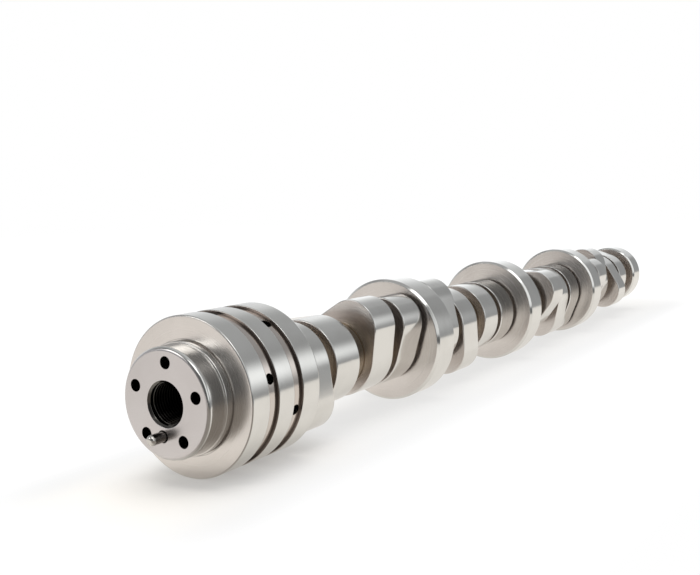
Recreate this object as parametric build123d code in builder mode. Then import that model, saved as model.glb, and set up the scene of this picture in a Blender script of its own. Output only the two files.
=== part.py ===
from build123d import *
import os
from math import cos, radians, sin, tan

# Camshaft of a V8 engine with a variable-timing nose: one ground shaft and its dowel pin.
# Millimetres. The shaft's axis is X, from the nose face at X = 0 to the rear end, and +Z is up.
# Angles round the shaft are counted from +Y towards +Z.

# Nose, which carries the timing drive
nose_radius = 19.65
nose_length = 10.8
nose_edge_round = 1.3
shoulder_radius = 20.3
shoulder_length = 2.0
shoulder_edge_break = 0.4
relief_width = 0.8
relief_depth = 0.8
face_relief_depth = 0.3
face_relief_gap = 0.4

# Central bore of the nose, for the drive's bolt
bore_radius = 7.5
bore_depth = 58.0
bore_mouth_break = 0.8
drill_point_angle = 118.0

# Oil ports in the nose face
port_count = 5
port_radius = 2.25
port_circle_radius = 14.4
port_first_angle = 94.6

# Dowel pin in the nose face
dowel_radius = 1.9
dowel_circle_radius = 11.5
dowel_angle = -81.0
dowel_stand_out = 6.5
dowel_hole_depth = 13.0
dowel_end_gap = 0.4
dowel_mouth_gap = 0.4
dowel_mouth_depth = 3.0
dowel_tip_round = 1.5
dowel_tail_break = 0.4

# First journal, with its two oil grooves
front_journal_radius = 29.1
front_journal_length = 38.0
front_journal_break = 0.45
front_groove_start = 9.0
rear_groove_start = 22.8
groove_width = 5.2
groove_depth = 1.25

# Radial oil drillings in the floors of the grooves; those of the front groove meet the ports
drilling_radius = 2.0
rear_drilling_count = 5
rear_drilling_angle = 123.5

# Middle journals, each a little smaller than the one before it
cylinder_pitch = 113.3
first_bay_length = 93.9
journal_radius_step = 0.2
journal_length = 16.5
journal_break = 1.1

# Last journal and the rear end
last_bay_length = 105.2
last_journal_radius = 21.85
last_journal_length = 17.0
centre_hole_radius = 4.0
centre_hole_depth = 9.0
centre_hole_mouth = 1.6

# Core between the lobes and the journals, splayed where it meets a journal
core_radius = 14.2
core_root = 1.4

# Lobes: base circle, straight flanks tangent to it, and a round nose
base_radius = 18.65
lobe_lift = 7.7
flank_angle = 64.5
lobe_width = 16.6
lobe_edge_break = 0.35
lobe_pair_spacing = 21.3
pair_to_pair_spacing = 48.1
first_lobe_gap = 5.15

# Timing, in degrees of camshaft turn
firing_order = (1, 8, 4, 3, 6, 5, 7, 2)
firing_step = 45.0
lobe_separation = 105.6
bank_spread = 69.8
first_exhaust_angle = 123.2

os.makedirs("parts", exist_ok=True)

# Places along the shaft that follow from the sizes
front_journal_end = nose_length + front_journal_length
first_lobe_centre = front_journal_end + first_lobe_gap + lobe_width / 2
second_journal_start = front_journal_end + first_bay_length
middle_journals = [
    (second_journal_start + n * cylinder_pitch, front_journal_radius - (n + 1) * journal_radius_step)
    for n in range(3)
]
last_journal_start = middle_journals[-1][0] + journal_length + last_bay_length
shaft_length = last_journal_start + last_journal_length
front_groove_centre = nose_length + front_groove_start + groove_width / 2
rear_groove_centre = nose_length + rear_groove_start + groove_width / 2


def drill_point(radius):
    """Length of a drill's conical point."""
    return radius / tan(radians(drill_point_angle / 2))


def on_circle(radius, angle):
    """Point of the YZ plane at a radius and an angle from +Y."""
    return radius * cos(radians(angle)), radius * sin(radians(angle))


def land(start, end, radius, edge_break):
    """Profile corners of a journal or a shoulder with both its edges broken."""
    return [
        (start, radius - edge_break),
        (start + edge_break, radius),
        (end - edge_break, radius),
        (end, radius - edge_break),
    ]


def core(start, end):
    """Profile corners of the core between two journals."""
    return [(start, core_radius), (end, core_radius)]


def turned_profile():
    """Corners of the shaft's half section, from the nose face, its edge rounded in two facets."""
    shoulder_end = nose_length - relief_width
    shoulder_start = shoulder_end - shoulder_length
    across = nose_edge_round * (1 - cos(radians(45)))
    corners = [
        (0, nose_radius - nose_edge_round),
        (across, nose_radius - across),
        (nose_edge_round, nose_radius),
        (shoulder_start, nose_radius),
    ]
    corners += land(shoulder_start, shoulder_end, shoulder_radius, shoulder_edge_break)
    relief_end = nose_length + face_relief_depth
    relief_radius = shoulder_radius - relief_depth
    face_relief_radius = shoulder_radius + face_relief_gap
    corners += [(shoulder_end, relief_radius), (relief_end, relief_radius)]
    corners += [(relief_end, face_relief_radius), (nose_length, face_relief_radius)]
    corners += land(nose_length, front_journal_end, front_journal_radius, front_journal_break)
    previous_end = front_journal_end
    for start, radius in middle_journals:
        corners += core(previous_end, start)
        corners += land(start, start + journal_length, radius, journal_break)
        previous_end = start + journal_length
    corners += core(previous_end, last_journal_start)
    corners += land(last_journal_start, shaft_length, last_journal_radius, journal_break)
    return corners


def lobe_angles():
    """Angle of each lobe's nose, from the front: cylinder pairs 1-2, 3-4, 5-6 and 7-8."""
    def exhaust(cylinder):
        turn = firing_step * firing_order.index(cylinder)
        bank = bank_spread if cylinder % 2 == 0 else 0
        return first_exhaust_angle + bank - turn

    angles = []
    for odd in (1, 3, 5, 7):
        even = odd + 1
        angles += [
            exhaust(even),
            exhaust(odd) - lobe_separation,
            exhaust(odd),
            exhaust(even) - lobe_separation,
        ]
    return angles


def lobe_centres():
    """Axial place of each lobe: two close pairs in each bay between journals."""
    in_bay = (
        first_lobe_centre,
        first_lobe_centre + lobe_pair_spacing,
        first_lobe_centre + pair_to_pair_spacing,
        first_lobe_centre + pair_to_pair_spacing + lobe_pair_spacing,
    )
    return [centre + bay * cylinder_pitch for bay in range(4) for centre in in_bay]


# The lobe's nose arc is the one that both flanks and the lift allow
top_radius = base_radius + lobe_lift
nose_arc_radius = (base_radius - top_radius * cos(radians(flank_angle))) / (1 - cos(radians(flank_angle)))
nose_arc_centre = top_radius - nose_arc_radius

with BuildPart() as lobe:
    with BuildSketch(Plane.YZ.offset(-lobe_width / 2)):
        with BuildLine():
            base_low = on_circle(base_radius, -flank_angle)
            base_high = on_circle(base_radius, flank_angle)
            lift_low = on_circle(nose_arc_radius, -flank_angle)
            lift_high = on_circle(nose_arc_radius, flank_angle)
            nose_low = (nose_arc_centre + lift_low[0], lift_low[1])
            nose_high = (nose_arc_centre + lift_high[0], lift_high[1])
            ThreePointArc(base_high, (-base_radius, 0), base_low)
            Line(base_low, nose_low)
            ThreePointArc(nose_low, (top_radius, 0), nose_high)
            Line(nose_high, base_high)
        make_face()
    extrude(amount=lobe_width)
    rims = lobe.faces().filter_by(Axis.X).edges()
    chamfer(rims, lobe_edge_break)

with BuildPart() as camshaft:
    # Turned blank
    with BuildSketch(Plane.XZ):
        with BuildLine():
            Polyline((0, 0), *turned_profile(), (shaft_length, 0), close=True)
        make_face()
    revolve(axis=Axis.X)
    core_corners = (
        camshaft.edges()
        .filter_by(GeomType.CIRCLE)
        .filter_by(lambda edge: abs(edge.radius - core_radius) < 0.01)
    )
    chamfer(core_corners, core_root)

    # Oil grooves of the first journal
    with BuildSketch(Plane.XZ):
        for centre in (front_groove_centre, rear_groove_centre):
            with Locations((centre, front_journal_radius)):
                Rectangle(groove_width, 2 * groove_depth)
    revolve(axis=Axis.X, mode=Mode.SUBTRACT)

    # Sixteen lobes, each turned to its own event
    for centre, angle in zip(lobe_centres(), lobe_angles()):
        with Locations((centre, 0, 0)):
            add(lobe.part, rotation=(angle, 0, 0))

    # Central bore with a drilled end and a broken mouth
    with BuildSketch(Plane.XZ):
        with BuildLine():
            Polyline(
                (0, 0),
                (0, bore_radius + bore_mouth_break),
                (bore_mouth_break, bore_radius),
                (bore_depth, bore_radius),
                (bore_depth + drill_point(bore_radius), 0),
                close=True,
            )
        make_face()
    revolve(axis=Axis.X, mode=Mode.SUBTRACT)

    # Oil ports in the nose face, as deep as the drillings of the front groove
    port_depth = front_groove_centre + drilling_radius
    with BuildSketch(Plane.YZ):
        with PolarLocations(port_circle_radius, port_count, start_angle=port_first_angle):
            Circle(port_radius)
    extrude(amount=port_depth, mode=Mode.SUBTRACT)

    # Drillings from the front groove into the ports
    for n in range(port_count):
        angle = port_first_angle + n * 360 / port_count
        outward = (0, *on_circle(1, angle))
        port_centre = on_circle(port_circle_radius, angle)
        with BuildSketch(Plane((front_groove_centre, *port_centre), (1, 0, 0), outward)):
            Circle(drilling_radius)
        extrude(amount=front_journal_radius - port_circle_radius, mode=Mode.SUBTRACT)

    # Drillings from the rear groove into the central bore
    for n in range(rear_drilling_count):
        angle = rear_drilling_angle + n * 360 / rear_drilling_count
        outward = (0, *on_circle(1, angle))
        with BuildSketch(Plane((rear_groove_centre, 0, 0), (1, 0, 0), outward)):
            Circle(drilling_radius)
        extrude(amount=front_journal_radius, mode=Mode.SUBTRACT)

    # Hole of the dowel pin, wider at its mouth
    for radius, depth in (
        (dowel_radius, dowel_hole_depth),
        (dowel_radius + dowel_mouth_gap, dowel_mouth_depth),
    ):
        with BuildSketch(Plane.YZ):
            with Locations(on_circle(dowel_circle_radius, dowel_angle)):
                Circle(radius)
        extrude(amount=depth, mode=Mode.SUBTRACT)

    # Centre hole left in the rear end by turning
    with BuildSketch(Plane.XZ):
        with BuildLine():
            Polyline(
                (shaft_length, 0),
                (shaft_length, centre_hole_radius + centre_hole_mouth),
                (shaft_length - centre_hole_mouth, centre_hole_radius),
                (shaft_length - centre_hole_depth, centre_hole_radius),
                (shaft_length - centre_hole_depth - drill_point(centre_hole_radius), 0),
                close=True,
            )
        make_face()
    revolve(axis=Axis.X, mode=Mode.SUBTRACT)

camshaft.part.label = "camshaft"
export_step(camshaft.part, "parts/camshaft.step")

with BuildPart() as dowel_pin:
    with BuildSketch(Plane.YZ.offset(-dowel_stand_out)):
        with Locations(on_circle(dowel_circle_radius, dowel_angle)):
            Circle(dowel_radius)
    extrude(amount=dowel_stand_out + dowel_hole_depth - dowel_end_gap)
    ends = dowel_pin.edges().filter_by(GeomType.CIRCLE).sort_by(Axis.X)
    fillet(ends[0], dowel_tip_round)
    chamfer(ends[-1], dowel_tail_break)

dowel_pin.part.label = "dowel_pin"
export_step(dowel_pin.part, "parts/dowel_pin.step")
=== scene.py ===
from math import cos, pi, radians, sin, tan

import bpy
from mathutils import Matrix, Vector


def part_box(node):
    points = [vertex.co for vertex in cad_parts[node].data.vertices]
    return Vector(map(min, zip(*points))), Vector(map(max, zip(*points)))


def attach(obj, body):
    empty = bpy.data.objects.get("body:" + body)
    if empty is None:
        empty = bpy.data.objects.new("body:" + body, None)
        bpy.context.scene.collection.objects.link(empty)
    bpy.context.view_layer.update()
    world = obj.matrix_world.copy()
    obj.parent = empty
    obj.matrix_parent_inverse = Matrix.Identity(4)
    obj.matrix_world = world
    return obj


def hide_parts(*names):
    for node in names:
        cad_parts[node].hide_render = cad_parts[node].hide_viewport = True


bl_info = {
    "name": "Camshaft",
    "version": (1, 0, 0),
    "blender": (4, 5, 0),
    "location": "3D View > Sidebar > Camshaft",
    "description": "Finishes the ground camshaft and its dowel pin, and sets the stage",
    "category": "Object",
}

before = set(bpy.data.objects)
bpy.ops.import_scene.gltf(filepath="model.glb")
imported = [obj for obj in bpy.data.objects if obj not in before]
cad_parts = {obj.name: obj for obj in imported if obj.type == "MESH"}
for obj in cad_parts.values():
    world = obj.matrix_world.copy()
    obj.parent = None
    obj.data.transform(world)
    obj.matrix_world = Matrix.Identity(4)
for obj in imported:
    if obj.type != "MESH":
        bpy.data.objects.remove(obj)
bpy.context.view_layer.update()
SHAFT = "camshaft"
PIN = "dowel_pin"
FLOOR_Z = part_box(SHAFT)[0].z

# Sizes of the shaft, from the CAD part, in metres: places along it from the nose face, and radii

NOSE_RADIUS = 0.01965
SHOULDER_START, SHOULDER_END, SHOULDER_RADIUS = 0.008, 0.010, 0.0203
RELIEF_END, RELIEF_RADIUS, FACE_RELIEF_RADIUS = 0.0111, 0.0195, 0.0207
BORE_DEPTH, BORE_RADIUS, BORE_BREAK = 0.058, 0.0075, 0.0008
CENTRE_DEPTH, CENTRE_RADIUS, CENTRE_BREAK = 0.0090, 0.0040, 0.0016
DRILL_POINT = tan(radians(59))

# The first journal is 0.06 mm smaller in radius than the solid, so that it stays inside the box of
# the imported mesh, whose facets cut a little off the true circle
FRONT_START, FRONT_END, FRONT_RADIUS = 0.0108, 0.0488, 0.02904
GROOVES = ((0.0198, 0.0250), (0.0336, 0.0388))
GROOVE_FLOOR = 0.02785

# Start, end and radius of the other journals
JOURNALS = ((0.1427, 0.1592, 0.0289), (0.2560, 0.2725, 0.0287),
            (0.3693, 0.3858, 0.0285), (0.4910, 0.5080, 0.02185))
JOURNAL_BREAK = 0.0011
SHAFT_END = JOURNALS[-1][1]
CORE_RADIUS = 0.0142

LOBE_WIDTH = 0.0166
LOBES_IN_BAY = (0, 0.0213, 0.0481, 0.0694)
FIRST_LOBE, BAY_PITCH = 0.06225, 0.1133
LOBE_PLACES = [FIRST_LOBE + bay * BAY_PITCH + place for bay in range(4) for place in LOBES_IN_BAY]
FIRING_ORDER = (1, 8, 4, 3, 6, 5, 7, 2)
FIRING_STEP = radians(45)

# Round holes: how many, the angle of the first in degrees, the distance of their middles from the
# axis, their radius, their middle along the shaft, their length, and whether they point outwards
HOLES = (
    (5, 94.6, 0.0144, 0.00225, 0.0117, 0.0254, False),  # oil ports
    (5, 94.6, 0.0232, 0.0020, 0.0224, 0.0176, True),  # drillings of the front groove
    (5, 123.5, 0.0185, 0.0020, 0.0362, 0.0270, True),  # drillings of the rear groove
    (1, -81.0, 0.0115, 0.0023, 0.0010, 0.0040, False),  # mouth of the pin's hole
    (1, -81.0, 0.0115, 0.0019, 0.0064, 0.0132, False),  # the pin's hole
)
HOLE_SIDES = 40

# Roundings of the edges, which catch the light as thin bright lines
NOSE_ROUND = 0.0013
SHOULDER_FRONT_ROUND, SHOULDER_REAR_ROUND = 0.00035, 0.0004
FRONT_ROUND, JOURNAL_ROUND = 0.00055, 0.0003
MOUTH_ROUND, FINE_ROUND = 0.0002, 0.0001
CORE_ROOT = 0.0014

# The thread's start in the bore, its ridge as a share of its pitch, its steps in a turn and the
# corners of its section
THREAD_START, THREAD_RIDGE = 0.0014, 0.30
THREAD_STEPS, THREAD_CORNERS = 60, 4

MERGE_DISTANCE = 0.000002
SHARP_ANGLE = radians(36)

# Colours that the panel doesn't offer

# Painted shade on the groove walls: dark at their foot, lighter at their rim
WALL_SHADE_DARK, WALL_SHADE_LIGHT = (0.13, 0.11, 0.10), (0.46, 0.41, 0.38)
GROOVE_STEEL = (0.60, 0.55, 0.51)
# Painted shade deep in the bore
DEEP_BORE_SHADE = (0.010, 0.0095, 0.009)
SHAFT_STAIN, PIN_STAIN = (0.30, 0.26, 0.22), (0.12, 0.10, 0.09)
WHITE, MIRRORED_FLOOR = (1.0, 1.0, 1.0), (0.95, 0.915, 0.87)
# Painted shade on the floor, seen only in mirrors
MIRRORED_SHADE = (1.0, 0.91, 0.82)
ROOM_COLOUR = (0.97, 0.985, 1.0)

# The studio: its brightness by depth, more of it by elevation, the place that its lamps face, and
# its bright bands. A band has a brightness, and the smooth steps of its azimuth and of its
# elevation, each from one angle to another in degrees with the share of the band at both

ROOM_DEPTH, ROOM_NEAR, ROOM_MORE = (-0.5, 0.3), 0.13, 0.24
CEILING_STEPS = ((18, 44, 0.10), (50, 62, 0.20))
LIT_PLACE = Vector((0.05, 0, 0))
BACKDROP = (0.90, ((-9, -4, 0, 1), (-4, 27, 0.42, 1), (29, 41, 1, 0.54), (120, 170, 1, 0)),
            ((-1, 0, 0, 1), (10, 41, 1, 0)))
FAR_LAMP = (0.95, ((-41, -22, 1, 0), (-80, -60, 0, 1)), ((-6, 12, 0, 1), (14, 29, 1, 0)))
WINDOW = (0.95, ((-129, -118, 0, 1), (-100, -85, 1, 0)), ((-2, 4, 0, 1), (45, 60, 1, 0)))


class ShaftShape(bpy.types.PropertyGroup):
    """Sizes of the lobes, the edges and the thread"""

    segments: bpy.props.IntProperty(
        name="Segments", description="Points round the shaft", default=180, min=24, max=360)
    base_radius: bpy.props.FloatProperty(
        name="Base circle", description="Radius of a lobe's base circle",
        default=0.01865, min=0.015, unit="LENGTH", precision=5)
    lobe_lift: bpy.props.FloatProperty(
        name="Lobe lift", description="Height of a lobe's nose above its base circle",
        default=0.0077, min=0.001, unit="LENGTH", precision=5)
    flank_angle: bpy.props.FloatProperty(
        name="Flank angle", description="Angle between a lobe's nose and the start of its flank",
        default=radians(64.5), min=radians(50), max=radians(80), subtype="ANGLE")
    lobe_separation: bpy.props.FloatProperty(
        name="Lobe separation", description="Turn between the two lobes of a cylinder",
        default=radians(105.6), subtype="ANGLE")
    bank_spread: bpy.props.FloatProperty(
        name="Bank spread", description="Turn between the lobes of the two banks",
        default=radians(69.8), subtype="ANGLE")
    first_exhaust: bpy.props.FloatProperty(
        name="First exhaust", description="Angle of the first cylinder's exhaust lobe",
        default=radians(123.2), subtype="ANGLE")
    edge_round: bpy.props.FloatProperty(
        name="Edge rounding", description="Rounding of the lobes' edges",
        default=0.00045, min=0.0001, unit="LENGTH", precision=5)
    thread_pitch: bpy.props.FloatProperty(
        name="Thread pitch", description="Pitch of the thread in the nose's bore",
        default=0.00125, min=0.0008, unit="LENGTH", precision=5)
    thread_length: bpy.props.FloatProperty(
        name="Thread length", description="Length of the thread in the nose's bore",
        default=0.024, min=0.002, unit="LENGTH", precision=5)


class ShaftFinish(bpy.types.PropertyGroup):
    """Colours and finish of the steel, with painted shade in the bore and a painted highlight on
    the pin's tip
    """

    ground_colour: bpy.props.FloatVectorProperty(
        name="Ground steel", description="Colour of the ground journals and lobes",
        default=(0.695, 0.69, 0.665), subtype="COLOR", size=3, min=0, max=1)
    turned_colour: bpy.props.FloatVectorProperty(
        name="Turned steel", description="Colour of the turned faces",
        default=(0.72, 0.685, 0.66), subtype="COLOR", size=3, min=0, max=1)
    nose_colour: bpy.props.FloatVectorProperty(
        name="Nose face", description="Colour of the nose face",
        default=(0.60, 0.575, 0.575), subtype="COLOR", size=3, min=0, max=1)
    # Painted shade: a dark colour on the wall and mouth of the bore
    bore_shade_colour: bpy.props.FloatVectorProperty(
        name="Bore", description="Colour of the oily wall and mouth of the bore",
        default=(0.13, 0.125, 0.115), subtype="COLOR", size=3, min=0, max=1)
    core_colour: bpy.props.FloatVectorProperty(
        name="Core steel", description="Colour of the unground core",
        default=(0.345, 0.285, 0.215), subtype="COLOR", size=3, min=0, max=1)
    pin_colour: bpy.props.FloatVectorProperty(
        name="Pin steel", description="Colour of the dowel pin",
        default=(0.22, 0.205, 0.19), subtype="COLOR", size=3, min=0, max=1)
    # Painted highlight: a lighter colour on the pin's tip
    tip_highlight_colour: bpy.props.FloatVectorProperty(
        name="Pin tip", description="Colour of the polished tip of the dowel pin",
        default=(0.62, 0.60, 0.57), subtype="COLOR", size=3, min=0, max=1)
    ground_roughness: bpy.props.FloatProperty(
        name="Ground roughness", description="Roughness of the ground surfaces",
        default=0.13, min=0, max=1)
    turned_roughness: bpy.props.FloatProperty(
        name="Turned roughness", description="Roughness of the turned faces",
        default=0.27, min=0, max=1)


class StageSetup(bpy.types.PropertyGroup):
    """Floor and camera"""

    floor_colour: bpy.props.FloatVectorProperty(
        name="Floor", description="Colour of the pale floor",
        default=(0.90, 0.865, 0.81), subtype="COLOR", size=3, min=0, max=1)
    floor_glow: bpy.props.FloatProperty(
        name="Floor glow", description="Share of plain white in the floor next to the shaft",
        default=0.74, min=0, max=1)
    contact_glow: bpy.props.FloatProperty(
        name="Contact glow",
        description="Share of plain white in the floor next to the first journal",
        default=0.33, min=0, max=1)
    floor_white: bpy.props.FloatProperty(
        name="Floor white", description="Brightness of the white floor",
        default=1.06, min=0, max=4)
    lens: bpy.props.FloatProperty(
        name="Lens", description="Focal length of the camera, in millimetres",
        default=45.59, min=10, max=300)


# Node helpers

def feed(tree, socket, value):
    """Links a socket to an output, or sets its value."""
    if isinstance(value, bpy.types.NodeSocket):
        tree.links.new(value, socket)
    else:
        socket.default_value = value


def feed_all(tree, node, fed):
    """Feeds several inputs of a node, by their name or place."""
    for name, value in fed.items():
        feed(tree, node.inputs[name], value)


def add_node(tree, kind, fed=None, **values):
    """A node of a tree, with its own properties set and its inputs fed."""
    node = tree.nodes.new(kind)
    for name, value in values.items():
        setattr(node, name, value)
    feed_all(tree, node, fed or {})
    return node


def maths(tree, operation, a, b=None, c=None, clamp=False):
    """Output of a Math node on numbers or sockets."""
    fed = {n: value for n, value in enumerate((a, b, c)) if value is not None}
    return add_node(tree, "ShaderNodeMath", fed, operation=operation, use_clamp=clamp).outputs[0]


def product(tree, first, *others):
    """Product of two or more numbers or sockets."""
    for other in others:
        first = maths(tree, "MULTIPLY", first, other)
    return first


def between(tree, value, low, high):
    """1 where a value lies between two limits, and 0 elsewhere."""
    above, below = maths(tree, "GREATER_THAN", value, low), maths(tree, "LESS_THAN", value, high)
    return product(tree, above, below)


def ramp(tree, value, low, high, from_low=0.0, to_high=1.0):
    """A smooth step of a value, from from_low at low to to_high at high."""
    fed = {"Value": value, "From Min": low, "From Max": high, "To Min": from_low, "To Max": to_high}
    node = add_node(tree, "ShaderNodeMapRange", fed, interpolation_type="SMOOTHSTEP")
    return node.outputs["Result"]


def mix_colours(tree, factor, a, b):
    """Output of a colour mix."""
    fed = {0: factor}
    for place, value in ((6, a), (7, b)):
        fed[place] = value if isinstance(value, bpy.types.NodeSocket) else (*value, 1.0)
    return add_node(tree, "ShaderNodeMix", fed, data_type="RGBA").outputs[2]


def mix_shaders(tree, factor, a, b):
    """Output of a mix of two shaders."""
    return add_node(tree, "ShaderNodeMixShader", {0: factor, 1: a, 2: b}).outputs[0]


def axes_of(tree, vector):
    """The X, Y and Z outputs of a vector."""
    return add_node(tree, "ShaderNodeSeparateXYZ", {0: vector}).outputs


def lay_out(tree, width=200, height=250):
    """Sets the nodes of a tree out in columns, from its inputs on the left to its output."""
    columns = {node.name: 0 for node in tree.nodes}
    moved = True
    while moved:
        moved = False
        for link in tree.links:
            column = columns[link.to_node.name] + 1
            if columns[link.from_node.name] < column:
                columns[link.from_node.name] = column
                moved = True
    rows = {}
    for node in tree.nodes:
        column = columns[node.name]
        rows[column] = rows.get(column, 0) + 1
        node.location = (-width * column, -height * rows[column])


# Materials

def tool_lines_group():
    """Fine lines round the shaft, left by the grinding wheel or the lathe tool."""
    group = bpy.data.node_groups.new("tool_lines", "ShaderNodeTree")
    made = group.interface
    made.new_socket("Along", in_out="INPUT", socket_type="NodeSocketFloat")
    made.new_socket("Pitch", in_out="INPUT", socket_type="NodeSocketFloat").default_value = 0.001
    made.new_socket("Lines", in_out="OUTPUT", socket_type="NodeSocketFloat")
    enter = add_node(group, "NodeGroupInput").outputs
    across = maths(group, "DIVIDE", enter["Along"], enter["Pitch"])
    fed = {"W": across, "Scale": 1.0, "Detail": 5.0, "Roughness": 0.7}
    noise = add_node(group, "ShaderNodeTexNoise", fed, noise_dimensions="1D")
    add_node(group, "NodeGroupOutput", {"Lines": noise.outputs["Fac"]})
    lay_out(group)
    return group


def stains_group():
    """Faint cloudy stains and handling marks."""
    clean, stained = 0.35, 0.72
    group = bpy.data.node_groups.new("oil_stains", "ShaderNodeTree")
    made = group.interface
    made.new_socket("Place", in_out="INPUT", socket_type="NodeSocketVector")
    made.new_socket("Size", in_out="INPUT", socket_type="NodeSocketFloat").default_value = 60.0
    made.new_socket("Stain", in_out="OUTPUT", socket_type="NodeSocketFloat")
    enter = add_node(group, "NodeGroupInput").outputs
    noise = add_node(group, "ShaderNodeTexNoise", {
        "Vector": enter["Place"], "Scale": enter["Size"], "Detail": 4.0, "Distortion": 0.6})
    stain = ramp(group, noise.outputs["Fac"], clean, stained)
    add_node(group, "NodeGroupOutput", {"Stain": stain})
    lay_out(group)
    return group


def use_group(tree, group, **inputs):
    """Output of a node group placed in a material, with its own values."""
    return add_node(tree, "ShaderNodeGroup", inputs, node_tree=group).outputs[0]


def new_material(name):
    """A material, with its tree and its Principled shader."""
    material = bpy.data.materials.new(name)
    material.use_nodes = True
    return material, material.node_tree, material.node_tree.nodes["Principled BSDF"]


def steel_material(finish, lines, stains):
    """Ground steel, with turned faces and a brown core.

    Painted shade darkens the groove walls and the bore.
    """
    # Limits of the surfaces, and pitches of the tools' lines, in metres
    core_start, core_end, core_fade = 0.0489, 0.5000, 0.0148
    grooves_start, grooves_end, wall_foot = 0.0195, 0.0391, 0.025
    wall_shade_low, wall_shade_high = 0.0279, 0.0289
    floor_low, floor_high = 0.0274, 0.0286
    bore_reach, bore_end, deep_shade_start, deep_shade_end = 0.00825, 0.08, 0.0009, 0.0035
    nose_depth, ground_pitch, turned_pitch = 0.0002, 0.0004, 0.0003
    # Shares of a normal's axial part from which a surface counts as a face
    face_start, face_end = 0.80, 0.97
    # How much the tools' lines vary the roughness, how much rougher the core is, and the share of
    # the stains
    ground_spread, turned_spread, core_rougher, stained = 0.06, 0.02, 0.10, 0.08

    material, tree, shader = new_material("ground_steel_finish")
    place = add_node(tree, "ShaderNodeTexCoord").outputs["Object"]
    along = axes_of(tree, place)["X"]
    outward = add_node(tree, "ShaderNodeVectorMath", {0: place, 1: (0, 1, 1)}, operation="MULTIPLY")
    length = add_node(tree, "ShaderNodeVectorMath", {0: outward.outputs[0]}, operation="LENGTH")
    radius = length.outputs["Value"]
    normal = add_node(tree, "ShaderNodeNewGeometry").outputs["Normal"]
    faced = ramp(tree, maths(tree, "ABSOLUTE", axes_of(tree, normal)["X"]), face_start, face_end)
    rounded = maths(tree, "SUBTRACT", 1.0, faced)
    stain = use_group(tree, stains, Place=place, Size=70.0)
    ground_lines = use_group(tree, lines, Along=along, Pitch=ground_pitch)
    turned_lines = use_group(tree, lines, Along=radius, Pitch=turned_pitch)

    nose_face = maths(tree, "LESS_THAN", along, nose_depth)
    core = product(tree, ramp(tree, radius, core_fade, CORE_RADIUS),
                   between(tree, along, core_start, core_end))
    grooved = between(tree, along, grooves_start, grooves_end)
    # Painted shade: wall marks the groove walls, which are darker towards their foot
    wall = product(tree, grooved, faced, maths(tree, "GREATER_THAN", radius, wall_foot))
    groove_floor = product(tree, grooved, between(tree, radius, floor_low, floor_high), rounded)
    # Painted shade: inside marks the bore's wall and mouth, which darken deeper in
    inside = product(tree, maths(tree, "LESS_THAN", radius, bore_reach),
                     maths(tree, "LESS_THAN", along, bore_end))

    wall_shade_colour = mix_colours(tree, ramp(tree, radius, wall_shade_low, wall_shade_high), WALL_SHADE_DARK, WALL_SHADE_LIGHT)
    darkened = ramp(tree, along, deep_shade_start, deep_shade_end)
    bore_shade_colour = mix_colours(tree, darkened, tuple(finish.bore_shade_colour), DEEP_BORE_SHADE)
    coats = ((faced, tuple(finish.turned_colour)), (nose_face, tuple(finish.nose_colour)),
             (core, tuple(finish.core_colour)), (wall, wall_shade_colour), (groove_floor, GROOVE_STEEL),
             (inside, bore_shade_colour), (product(tree, stain, stained), SHAFT_STAIN))
    colour = tuple(finish.ground_colour)
    for share, coat in coats:
        colour = mix_colours(tree, share, colour, coat)

    ground = maths(tree, "MULTIPLY_ADD", ground_lines, ground_spread,
                   finish.ground_roughness - ground_spread / 2)
    turned = maths(tree, "MULTIPLY_ADD", turned_lines, turned_spread,
                   finish.turned_roughness - turned_spread / 2)
    rough = maths(tree, "ADD", product(tree, ground, rounded), product(tree, turned, faced))
    rough = maths(tree, "MULTIPLY_ADD", core, core_rougher, rough)
    tangent = add_node(tree, "ShaderNodeTangent", direction_type="RADIAL", axis="X")
    bump = add_node(tree, "ShaderNodeBump", {
        "Strength": 0.07, "Distance": 0.00001, "Height": product(tree, ground_lines, 0.4)})
    feed_all(tree, shader, {
        "Base Color": colour, "Roughness": rough, "Metallic": 1.0, "Anisotropic": 0.4,
        "Tangent": tangent.outputs[0], "Normal": bump.outputs[0]})
    lay_out(tree)
    return material


def pin_material(finish, stains):
    """Darker hardened steel of the dowel pin, with a painted highlight on its tip."""
    highlight_start, highlight_end = -0.0045, -0.0056
    stained, plain_rough, stain_rough = 0.4, 0.22, 0.12
    material, tree, shader = new_material("pin_steel_finish")
    place = add_node(tree, "ShaderNodeTexCoord").outputs["Object"]
    stain = use_group(tree, stains, Place=place, Size=400.0)
    # Painted highlight: the tip is lighter than the rest of the pin
    tip = ramp(tree, axes_of(tree, place)["X"], highlight_start, highlight_end)
    colour = mix_colours(tree, tip, tuple(finish.pin_colour), tuple(finish.tip_highlight_colour))
    colour = mix_colours(tree, product(tree, stain, stained), colour, PIN_STAIN)
    rough = maths(tree, "MULTIPLY_ADD", stain, stain_rough, plain_rough)
    feed_all(tree, shader, {"Base Color": colour, "Roughness": rough, "Metallic": 1.0})
    lay_out(tree)
    return material


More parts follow.
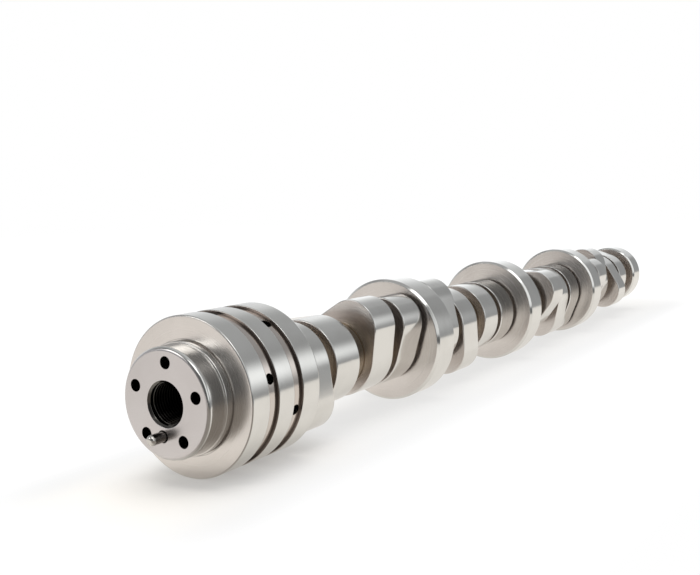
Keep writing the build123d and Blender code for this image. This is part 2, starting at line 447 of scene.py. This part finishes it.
def floor_material(stage):
    """Pale floor that keeps the shadow near the shaft and turns plain white farther away.

    A band of painted shadow round the shadow is a little less white, and the nose mirrors a warm
    dim patch of painted shade that the floor shows only in mirrors."""
    # Bands in which the floor changes, each from its start to its end, in metres
    ahead, behind = (-0.06, -0.01), (0.52, 0.62)
    shadow_edge, painted_shadow_edge = (0.008, 0.048), (0.034, 0.066)
    past_journal = (0.050, 0.085)
    patch_start, patch_end = (-0.26, -0.14), (0.024, -0.002)
    patch_side, patch_fade = (0.004, -0.018), (-0.05, -0.13)
    # What the painted shadow takes off the brightness in mirrors, what more it takes off in view,
    # and how bright the painted shade seen in mirrors is at both ends of its fade
    painted_shadow_mirrored, painted_shadow_in_view, patch_near, patch_far = -0.06, -0.07, 0.34, 0.26

    material, tree, shader = new_material("pale_floor")
    feed_all(tree, shader, {
        "Base Color": (*stage.floor_colour, 1.0), "Roughness": 0.9, "Specular IOR Level": 0.0})
    axes = axes_of(tree, add_node(tree, "ShaderNodeTexCoord").outputs["Object"])
    along, across = axes["X"], axes["Y"]
    beside = maths(tree, "ABSOLUTE", across)
    reach = product(tree, ramp(tree, along, *ahead), ramp(tree, along, *behind, 1.0, 0.0))
    path = add_node(tree, "ShaderNodeLightPath").outputs
    in_view, mirrored = path["Is Camera Ray"], path["Is Glossy Ray"]
    seen = maths(tree, "ADD", in_view, mirrored)
    seen = maths(tree, "ADD", seen, path["Is Transmission Ray"], clamp=True)

    shadow = product(tree, ramp(tree, beside, *shadow_edge, 1.0, 0.0), reach)
    depth = ramp(tree, along, *past_journal, 1.0 - stage.contact_glow, 1.0 - stage.floor_glow)
    share = maths(tree, "SUBTRACT", 1.0, product(tree, shadow, depth))
    # Painted shadow: the floor is a little less white in a band beside the shaft
    painted_shadow = product(tree, ramp(tree, beside, *painted_shadow_edge, 1.0, 0.0), reach,
                   maths(tree, "MULTIPLY_ADD", in_view, painted_shadow_in_view, painted_shadow_mirrored))
    white = add_node(tree, "ShaderNodeEmission", {
        "Color": mix_colours(tree, in_view, MIRRORED_FLOOR, WHITE),
        "Strength": maths(tree, "MULTIPLY_ADD", painted_shadow, stage.floor_white, stage.floor_white)})
    whole = mix_shaders(tree, product(tree, share, seen), shader.outputs[0], white.outputs[0])

    # Painted shade on the floor beside the nose, seen only in mirrors
    mirrored_shade = product(tree, ramp(tree, along, *patch_end), ramp(tree, across, *patch_side),
                    ramp(tree, along, *patch_start), mirrored)
    mirrored_shade_glow = add_node(tree, "ShaderNodeEmission", {
        "Color": (*MIRRORED_SHADE, 1.0),
        "Strength": ramp(tree, across, *patch_fade, patch_near, patch_far)})
    whole = mix_shaders(tree, mirrored_shade, whole, mirrored_shade_glow.outputs[0])
    tree.links.new(whole, tree.nodes["Material Output"].inputs["Surface"])
    lay_out(tree)
    return material


# Half section of the shaft. A corner is its place along the shaft, its radius, its rounding, the
# share of a lobe that it takes (0 or 1) and the lobe's turn

def corner(place, radius, rounding=0, share=0, turn=0):
    """A corner of the half section."""
    return place, radius, rounding, share, turn


def lobe_turns(shape):
    """Angle of each lobe's nose, from the front, by the firing order."""
    turns = []
    for odd in (1, 3, 5, 7):
        first, second = (shape.first_exhaust - FIRING_STEP * FIRING_ORDER.index(cylinder)
                         for cylinder in (odd, odd + 1))
        second += shape.bank_spread
        turns += [second, first - shape.lobe_separation, first, second - shape.lobe_separation]
    return turns


def soften(corners, steps=3):
    """Rounds the corners of a profile, and holds the walls beside them straight."""
    widest, hold, hold_share = 0.45, 0.00015, 0.3
    points = []
    for n, (x, radius, rounding, share, turn) in enumerate(corners):
        if not rounding:
            points.append((x, radius, share, turn))
            continue
        here = Vector((x, radius))
        back = Vector(corners[n - 1][:2]) - here
        on = Vector(corners[n + 1][:2]) - here
        bend = pi - back.angle(on)
        reach = min(rounding * tan(bend / 2), widest * back.length, widest * on.length)
        back_way, on_way = back.normalized(), on.normalized()
        centre = here + (back_way + on_way).normalized() * reach / sin(bend / 2)
        first, last = here + back_way * reach - centre, here + on_way * reach - centre
        places = [here + back_way * (reach + min(hold, hold_share * (back.length - reach)))]
        for step in range(steps + 1):
            part = bend * step / steps
            places.append(centre + (first * sin(bend - part) + last * sin(part)) / sin(bend))
        places.append(here + on_way * (reach + min(hold, hold_share * (on.length - reach))))
        points += [(place.x, place.y, share, turn) for place in places]
    return points


def land(start, end, radius, edge):
    """Corners of a journal with both its edges broken."""
    low = radius - edge
    places = ((start, low), (start + edge, radius), (end - edge, radius), (end, low))
    return [corner(*place, JOURNAL_ROUND) for place in places]


def turned_corners(shape):
    """Corners of the half section, from the end of the bore round to the rear centre hole."""
    corners = [
        corner(BORE_DEPTH + BORE_RADIUS / DRILL_POINT, 0),
        corner(BORE_DEPTH, BORE_RADIUS),
        corner(BORE_BREAK, BORE_RADIUS, MOUTH_ROUND),
        corner(0, BORE_RADIUS + BORE_BREAK, MOUTH_ROUND),
        corner(0, NOSE_RADIUS, NOSE_ROUND),
        corner(SHOULDER_START, NOSE_RADIUS, FINE_ROUND),
        corner(SHOULDER_START, SHOULDER_RADIUS, SHOULDER_FRONT_ROUND),
        corner(SHOULDER_END, SHOULDER_RADIUS, SHOULDER_REAR_ROUND),
        corner(SHOULDER_END, RELIEF_RADIUS),
        corner(RELIEF_END, RELIEF_RADIUS),
        corner(RELIEF_END, FACE_RELIEF_RADIUS),
        corner(FRONT_START, FACE_RELIEF_RADIUS, FINE_ROUND),
        corner(FRONT_START, FRONT_RADIUS, FRONT_ROUND),
    ]
    for start, end in GROOVES:
        corners += [corner(start, FRONT_RADIUS, JOURNAL_ROUND), corner(start, GROOVE_FLOOR),
                    corner(end, GROOVE_FLOOR), corner(end, FRONT_RADIUS, JOURNAL_ROUND)]
    corners.append(corner(FRONT_END, FRONT_RADIUS, FRONT_ROUND))
    core_start = FRONT_END
    lobes = list(zip(LOBE_PLACES, lobe_turns(shape)))
    for start, end, radius in JOURNALS:
        corners.append(corner(core_start, CORE_RADIUS, CORE_ROOT))
        for middle, turn in (lobe for lobe in lobes if core_start < lobe[0] < start):
            near, far = middle - LOBE_WIDTH / 2, middle + LOBE_WIDTH / 2
            corners += [corner(near, CORE_RADIUS, turn=turn),
                        corner(near, shape.base_radius, shape.edge_round, 1, turn),
                        corner(far, shape.base_radius, shape.edge_round, 1, turn),
                        corner(far, CORE_RADIUS, turn=turn)]
        corners += [corner(start, CORE_RADIUS, CORE_ROOT), *land(start, end, radius, JOURNAL_BREAK)]
        core_start = end
    centre_end = SHAFT_END - CENTRE_DEPTH
    corners += [corner(SHAFT_END, CENTRE_RADIUS + CENTRE_BREAK, MOUTH_ROUND),
                corner(SHAFT_END - CENTRE_BREAK, CENTRE_RADIUS, MOUTH_ROUND),
                corner(centre_end, CENTRE_RADIUS),
                corner(centre_end - CENTRE_RADIUS / DRILL_POINT, 0)]
    return corners


# Geometry trees

def add_inputs(tree, **kinds):
    """Named inputs of a geometry tree, each with its socket type, and its one output."""
    for name, kind in kinds.items():
        tree.interface.new_socket(
            name.replace("_", " "), in_out="INPUT", socket_type="NodeSocket" + kind)
    tree.interface.new_socket("Shape", in_out="OUTPUT", socket_type="NodeSocketGeometry")
    enter = add_node(tree, "NodeGroupInput")
    return {name: enter.outputs[name.replace("_", " ")] for name in kinds}


def join_up(tree, shape, material):
    """Ends a geometry tree: real meshes, one material and the output."""
    real = add_node(tree, "GeometryNodeRealizeInstances", {0: shape})
    paint = add_node(tree, "GeometryNodeSetMaterial", {
        "Geometry": real.outputs[0], "Material": material})
    add_node(tree, "NodeGroupOutput", {0: paint.outputs[0]})
    lay_out(tree)


def grow(piece, tree, **sizes):
    """Runs a geometry tree on a piece, and leaves its result as a plain mesh."""
    modifier = piece.modifiers.new(tree.name, "NODES")
    modifier.node_group = tree
    for item in tree.interface.items_tree:
        name = item.name.replace(" ", "_")
        if item.item_type == "SOCKET" and item.in_out == "INPUT" and name in sizes:
            modifier[item.identifier] = sizes[name]
    grown = piece.evaluated_get(bpy.context.evaluated_depsgraph_get())
    mesh = bpy.data.meshes.new_from_object(grown)
    piece.modifiers.remove(modifier)
    piece.data = mesh
    mesh.name = piece.name
    if not mesh.polygons:
        raise RuntimeError(piece.name + " has no faces")


def on_circle(tree, along, radius, angle):
    """A point at a place along the shaft, at a radius and an angle from +Y towards +Z."""
    y, z = (product(tree, radius, maths(tree, way, angle)) for way in ("COSINE", "SINE"))
    return add_node(tree, "ShaderNodeCombineXYZ", {0: along, 1: y, 2: z}).outputs[0]


def lobe_rise(tree, turn, base, lift, flank):
    """How far a lobe stands above its base circle: round nose, straight flanks, base circle."""
    angle = maths(tree, "ABSOLUTE", maths(tree, "WRAP", turn, pi, -pi))
    top = maths(tree, "ADD", base, lift)
    cosine = maths(tree, "COSINE", flank)
    nose = maths(tree, "DIVIDE", maths(tree, "SUBTRACT", base, product(tree, top, cosine)),
                 maths(tree, "SUBTRACT", 1.0, cosine))
    centre = maths(tree, "SUBTRACT", top, nose)
    nose_end = maths(tree, "ARCTAN2", product(tree, nose, maths(tree, "SINE", flank)),
                     maths(tree, "MULTIPLY_ADD", nose, cosine, centre))
    flat = maths(tree, "DIVIDE", base, maths(tree, "COSINE", maths(tree, "SUBTRACT", flank, angle)))
    across = maths(tree, "POWER", product(tree, centre, maths(tree, "SINE", angle)), 2.0)
    reach = maths(tree, "SQRT", maths(tree, "SUBTRACT", maths(tree, "POWER", nose, 2.0), across))
    arc = maths(tree, "MULTIPLY_ADD", centre, maths(tree, "COSINE", angle), reach)
    radius = base
    for limit, inner in ((flank, flat), (nose_end, arc)):
        within = add_node(tree, "FunctionNodeCompare", {0: angle, 1: limit},
                          data_type="FLOAT", operation="LESS_THAN")
        fed = {"Switch": within.outputs[0], "False": radius, "True": inner}
        radius = add_node(tree, "GeometryNodeSwitch", fed, input_type="FLOAT").outputs[0]
    return maths(tree, "SUBTRACT", radius, base)


def hole_cutters(tree, count, first, ring_radius, hole_radius, middle, length, outwards):
    """Round cutters evenly spaced on a circle, along the shaft or straight out from it."""
    index = add_node(tree, "GeometryNodeInputIndex").outputs[0]
    angle = maths(tree, "MULTIPLY_ADD", index, 2 * pi / count, radians(first))
    place = on_circle(tree, middle, ring_radius, angle)
    points = add_node(tree, "GeometryNodePoints", {"Count": count, "Position": place})
    cutter = add_node(tree, "GeometryNodeMeshCylinder",
                      {"Vertices": HOLE_SIDES, "Radius": hole_radius, "Depth": length})
    turned = {0: maths(tree, "SUBTRACT", angle, pi / 2)} if outwards else {1: pi / 2}
    turn = add_node(tree, "ShaderNodeCombineXYZ", turned)
    spread = add_node(tree, "GeometryNodeInstanceOnPoints", {
        "Points": points.outputs[0], "Instance": cutter.outputs["Mesh"],
        "Rotation": turn.outputs[0]})
    return add_node(tree, "GeometryNodeRealizeInstances", {0: spread.outputs[0]}).outputs[0]


def raised_mesh(tree, sizes):
    """The profile turned round the shaft's axis, with the lobes raised."""
    rings = add_node(tree, "GeometryNodeAttributeDomainSize", {0: sizes["Profile"]},
                     component="MESH").outputs["Point Count"]
    grid = add_node(tree, "GeometryNodeMeshGrid", {
        "Vertices X": rings, "Vertices Y": maths(tree, "ADD", sizes["Segments"], 1.0)})
    place = add_node(tree, "GeometryNodeInputPosition").outputs[0]
    on_grid = axes_of(tree, place)
    ring = product(tree, maths(tree, "ADD", on_grid[0], 0.5), maths(tree, "SUBTRACT", rings, 1.0))
    number = add_node(tree, "FunctionNodeFloatToInt", {0: ring}, rounding_mode="ROUND").outputs[0]
    angle = product(tree, maths(tree, "ADD", on_grid[1], 0.5), -2 * pi)

    def sample(value, kind):
        """A value of the profile at this ring."""
        fed = {"Geometry": sizes["Profile"], "Value": value, "Index": number}
        node = add_node(tree, "GeometryNodeSampleIndex", fed, data_type=kind, domain="POINT")
        return node.outputs[0]

    def stored(name):
        """A number stored with the profile, at this ring."""
        node = add_node(tree, "GeometryNodeInputNamedAttribute", {"Name": name}, data_type="FLOAT")
        return sample(node.outputs[0], "FLOAT")

    section = axes_of(tree, sample(place, "FLOAT_VECTOR"))
    share, turn = stored("lobe_share"), stored("lobe_turn")
    rise = lobe_rise(tree, maths(tree, "SUBTRACT", angle, turn),
                     sizes["Base_Radius"], sizes["Lift"], sizes["Flank_Angle"])
    radius = maths(tree, "MULTIPLY_ADD", rise, share, section[1])
    shaped = add_node(tree, "GeometryNodeSetPosition", {
        "Geometry": grid.outputs["Mesh"], "Position": on_circle(tree, section[0], radius, angle)})
    return add_node(tree, "GeometryNodeMergeByDistance", {
        "Geometry": shaped.outputs[0], "Distance": MERGE_DISTANCE}).outputs[0]


def shaded(tree, mesh):
    """A mesh with smooth faces and sharp edges."""
    smooth = add_node(tree, "GeometryNodeSetShadeSmooth", {0: mesh}, domain="FACE")
    crease = add_node(tree, "GeometryNodeInputMeshEdgeAngle").outputs["Unsigned Angle"]
    sharp = add_node(tree, "FunctionNodeCompare", {0: crease, 1: SHARP_ANGLE},
                     data_type="FLOAT", operation="GREATER_THAN")
    fed = {0: smooth.outputs[0], "Selection": sharp.outputs[0], "Shade Smooth": False}
    return add_node(tree, "GeometryNodeSetShadeSmooth", fed, domain="EDGE").outputs[0]


def shaft_tree(material):
    """Geometry Nodes: turns a profile round the axis, raises the lobes and drills the holes."""
    tree = bpy.data.node_groups.new("shaft_body", "GeometryNodeTree")
    sizes = add_inputs(tree, Profile="Geometry", Segments="Int", Base_Radius="Float", Lift="Float",
                       Flank_Angle="Float")
    blank = raised_mesh(tree, sizes)
    cutters = add_node(tree, "GeometryNodeMeshBoolean", operation="UNION", solver="EXACT")
    for hole in HOLES:
        tree.links.new(hole_cutters(tree, *hole), cutters.inputs["Mesh 2"])
    fed = {"Mesh 1": blank, "Mesh 2": cutters.outputs[0]}
    drilled = add_node(tree, "GeometryNodeMeshBoolean", fed, operation="DIFFERENCE", solver="EXACT")
    join_up(tree, shaded(tree, drilled.outputs[0]), material)
    return tree


def thread_tree(material):
    """Geometry Nodes: the ridge of a thread that winds along the wall of the bore."""
    tree = bpy.data.node_groups.new("bore_thread", "GeometryNodeTree")
    sizes = add_inputs(tree, Start="Float", Length="Float", Pitch="Float", Radius="Float",
                       Ridge="Float")
    helix = add_node(tree, "GeometryNodeCurveSpiral", {
        "Resolution": THREAD_STEPS,
        "Rotations": maths(tree, "DIVIDE", sizes["Length"], sizes["Pitch"]),
        "Start Radius": sizes["Radius"], "End Radius": sizes["Radius"], "Height": sizes["Length"]})
    fed = {"Resolution": THREAD_CORNERS, "Radius": sizes["Ridge"]}
    section = add_node(tree, "GeometryNodeCurvePrimitiveCircle", fed, mode="RADIUS")
    ridge = add_node(tree, "GeometryNodeCurveToMesh", {
        "Curve": helix.outputs[0], "Profile Curve": section.outputs[0], "Fill Caps": True})
    shift = add_node(tree, "ShaderNodeCombineXYZ", {0: sizes["Start"]})
    laid = add_node(tree, "GeometryNodeTransform", {
        "Geometry": ridge.outputs[0], "Translation": shift.outputs[0], "Rotation": (0, pi / 2, 0)})
    join_up(tree, laid.outputs[0], material)
    return tree


def new_piece(name, mesh=None):
    """A new piece of the scene, with a mesh or an empty one."""
    piece = bpy.data.objects.new(name, mesh or bpy.data.meshes.new(name))
    bpy.context.scene.collection.objects.link(piece)
    return piece


def keep_piece(piece, node=None):
    """Attaches a finished piece to the root body, and hides the CAD part that it stands for."""
    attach(piece, "root")
    if node:
        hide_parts(node)


# Stage

def direction(azimuth, elevation):
    """Unit vector at an azimuth from +X towards +Y, and an elevation, in degrees."""
    a, e = radians(azimuth), radians(elevation)
    return Vector((cos(a) * cos(e), sin(a) * cos(e), sin(e)))


def add_softbox(name, azimuth, elevation, distance, width, height, radiance, colour):
    """A soft rectangular lamp that faces the front of the shaft, at a distance in metres."""
    lamp = bpy.data.lights.new(name, "AREA")
    lamp.shape = "RECTANGLE"
    lamp.size, lamp.size_y = width, height
    lamp.color = colour
    lamp.energy = radiance * pi * width * height
    box = bpy.data.objects.new(name, lamp)
    way = direction(azimuth, elevation)
    box.location = LIT_PLACE + way * distance
    box.rotation_mode = "QUATERNION"
    box.rotation_quaternion = way.to_track_quat("Z", "Y")
    bpy.context.scene.collection.objects.link(box)
    return box


def build_lamps():
    """A lamp before the nose, one above that steel doesn't mirror, and one that it only mirrors."""
    add_softbox("key_softbox", azimuth=146, elevation=32, distance=1.5, width=0.62, height=0.60,
                radiance=2.2, colour=(1.0, 0.995, 0.98))
    top = add_softbox("top_softbox", azimuth=60, elevation=82, distance=1.1, width=1.1, height=1.1,
                      radiance=3.4, colour=(1.0, 0.99, 0.97))
    top.visible_glossy = False
    rim = add_softbox("rim_softbox", azimuth=-138, elevation=58, distance=5.0, width=2.6,
                      height=2.3, radiance=2.0, colour=WHITE)
    rim.visible_diffuse = False


def build_world():
    """A grey room with a white backdrop, a far lamp and a window. The camera sees plain white."""
    world = bpy.data.worlds.new("studio")
    bpy.context.scene.world = world
    world.use_nodes = True
    tree = world.node_tree
    tree.nodes.clear()
    way = axes_of(tree, add_node(tree, "ShaderNodeTexCoord").outputs["Generated"])
    up = maths(tree, "ARCSINE", way["Z"])
    turn = maths(tree, "ARCTAN2", way["Y"], way["X"])

    def steps(value, angles):
        """Product of smooth steps of an angle."""
        return product(tree, *(ramp(tree, value, radians(low), radians(high), from_low, to_high)
                               for low, high, from_low, to_high in angles))

    strength = maths(tree, "MULTIPLY_ADD", ramp(tree, way["X"], *ROOM_DEPTH), ROOM_MORE, ROOM_NEAR)
    for low, high, more in CEILING_STEPS:
        step = ramp(tree, up, radians(low), radians(high))
        strength = maths(tree, "MULTIPLY_ADD", step, more, strength)
    for brightness, azimuths, elevations in (BACKDROP, FAR_LAMP, WINDOW):
        band = product(tree, steps(turn, azimuths), steps(up, elevations))
        strength = maths(tree, "MULTIPLY_ADD", band, brightness, strength)
    room = add_node(tree, "ShaderNodeBackground", {
        "Strength": strength, "Color": (*ROOM_COLOUR, 1.0)})
    white = add_node(tree, "ShaderNodeBackground", {"Strength": 1.0, "Color": (*WHITE, 1.0)})
    in_view = add_node(tree, "ShaderNodeLightPath").outputs["Is Camera Ray"]
    chosen = mix_shaders(tree, in_view, room.outputs[0], white.outputs[0])
    add_node(tree, "ShaderNodeOutputWorld", {"Surface": chosen})
    lay_out(tree)


def build_floor(stage):
    """A table top under the shaft, whose near edge runs beside it at a slant."""
    start, end, near, slant, far = -1.6, 2.6, -0.154, -0.08, 2.4
    corners = [(start, near + slant * start), (end, near + slant * end), (end, far), (start, far)]
    mesh = bpy.data.meshes.new("floor")
    mesh.from_pydata([(x, y, FLOOR_Z) for x, y in corners], [], [(0, 1, 2, 3)])
    floor = bpy.data.objects.new("floor", mesh)
    floor.data.materials.append(floor_material(stage))
    bpy.context.scene.collection.objects.link(floor)


def build_camera(stage):
    """The photograph's view of the shaft."""
    place = Vector((-0.2131, -0.2197, 0.0669))
    right = Vector((0.4844, -0.8744, -0.0275)).normalized()
    ahead = Vector((0.8679, 0.4842, -0.1106)).normalized()
    data = bpy.data.cameras.new("camera")
    data.sensor_fit = "HORIZONTAL"
    data.sensor_width = 36.0
    data.lens = stage.lens
    data.shift_x, data.shift_y = -0.1045, 0.0125
    data.clip_start, data.clip_end = 0.01, 100
    camera = bpy.data.objects.new("camera", data)
    turn = Matrix((right, right.cross(ahead), -ahead)).transposed()
    camera.matrix_world = Matrix.Translation(place) @ turn.to_4x4()
    bpy.context.scene.collection.objects.link(camera)
    bpy.context.scene.camera = camera


# Operators

class CAMSHAFT_OT_shaft(bpy.types.Operator):
    """Turns the shaft from its profile, raises its lobes, drills it and gives it its steel"""

    bl_idname = "camshaft.shaft"
    bl_label = "Make the shaft"

    def execute(self, context):
        shape = context.scene.camshaft_shape
        material = steel_material(context.scene.camshaft_finish, tool_lines_group(), stains_group())
        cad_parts[SHAFT].material_slots[0].material = material
        places, radii, shares, turns = zip(*soften(turned_corners(shape)))
        profile = bpy.data.meshes.new("shaft_profile")
        profile.from_pydata([(x, radius, 0) for x, radius in zip(places, radii)],
                            [(n, n + 1) for n in range(len(places) - 1)], [])
        for name, values in (("lobe_share", shares), ("lobe_turn", turns)):
            profile.attributes.new(name, "FLOAT", "POINT").data.foreach_set("value", values)
        shaft = new_piece("shaft_body", profile)
        grow(shaft, shaft_tree(material), Segments=shape.segments, Base_Radius=shape.base_radius,
             Lift=shape.lobe_lift, Flank_Angle=shape.flank_angle)
        keep_piece(shaft, SHAFT)
        return {"FINISHED"}


class CAMSHAFT_OT_thread(bpy.types.Operator):
    """Winds the thread along the wall of the nose's bore"""

    bl_idname = "camshaft.thread"
    bl_label = "Cut the bore's thread"

    def execute(self, context):
        shape = context.scene.camshaft_shape
        thread = new_piece("bore_thread")
        grow(thread, thread_tree(bpy.data.materials["ground_steel_finish"]), Start=THREAD_START,
             Length=shape.thread_length, Pitch=shape.thread_pitch, Radius=BORE_RADIUS,
             Ridge=shape.thread_pitch * THREAD_RIDGE)
        keep_piece(thread)
        return {"FINISHED"}


class CAMSHAFT_OT_pin(bpy.types.Operator):
    """Gives the dowel pin its hardened steel"""

    bl_idname = "camshaft.pin"
    bl_label = "Finish the dowel pin"

    def execute(self, context):
        material = pin_material(context.scene.camshaft_finish, bpy.data.node_groups["oil_stains"])
        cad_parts[PIN].material_slots[0].material = material
        return {"FINISHED"}


class CAMSHAFT_OT_stage(bpy.types.Operator):
    """Makes the surroundings, the floor, the camera and the lamps"""

    bl_idname = "camshaft.stage"
    bl_label = "Set the stage"

    def execute(self, context):
        stage = context.scene.camshaft_stage
        build_world()
        build_floor(stage)
        build_camera(stage)
        build_lamps()
        context.scene.view_settings.view_transform = "Standard"
        return {"FINISHED"}


class CAMSHAFT_PT_panel(bpy.types.Panel):
    """Lists the steps of the camshaft's finish"""

    bl_idname = "CAMSHAFT_PT_panel"
    bl_label = "Camshaft"
    bl_space_type = "VIEW_3D"
    bl_region_type = "UI"
    bl_category = "Camshaft"

    def draw(self, context):
        scene = context.scene
        for group in (scene.camshaft_shape, scene.camshaft_finish, scene.camshaft_stage):
            for name in group.bl_rna.properties.keys():
                if name not in ("rna_type", "name"):
                    self.layout.prop(group, name)
        for operator in STEPS:
            self.layout.operator(operator.bl_idname)


STEPS = (CAMSHAFT_OT_shaft, CAMSHAFT_OT_thread, CAMSHAFT_OT_pin, CAMSHAFT_OT_stage)
CLASSES = (ShaftShape, ShaftFinish, StageSetup, *STEPS, CAMSHAFT_PT_panel)


def register():
    for item in CLASSES:
        bpy.utils.register_class(item)
    bpy.types.Scene.camshaft_shape = bpy.props.PointerProperty(type=ShaftShape)
    bpy.types.Scene.camshaft_finish = bpy.props.PointerProperty(type=ShaftFinish)
    bpy.types.Scene.camshaft_stage = bpy.props.PointerProperty(type=StageSetup)


def unregister():
    del bpy.types.Scene.camshaft_stage
    del bpy.types.Scene.camshaft_finish
    del bpy.types.Scene.camshaft_shape
    for item in reversed(CLASSES):
        bpy.utils.unregister_class(item)


def main():
    register()
    for start_object in ("Cube", "Light", "Camera"):
        if start_object in bpy.data.objects:
            bpy.data.objects.remove(bpy.data.objects[start_object])
    bpy.ops.camshaft.shaft()
    bpy.ops.camshaft.thread()
    bpy.ops.camshaft.pin()
    bpy.ops.camshaft.stage()


if __name__ == "__main__":
    main()
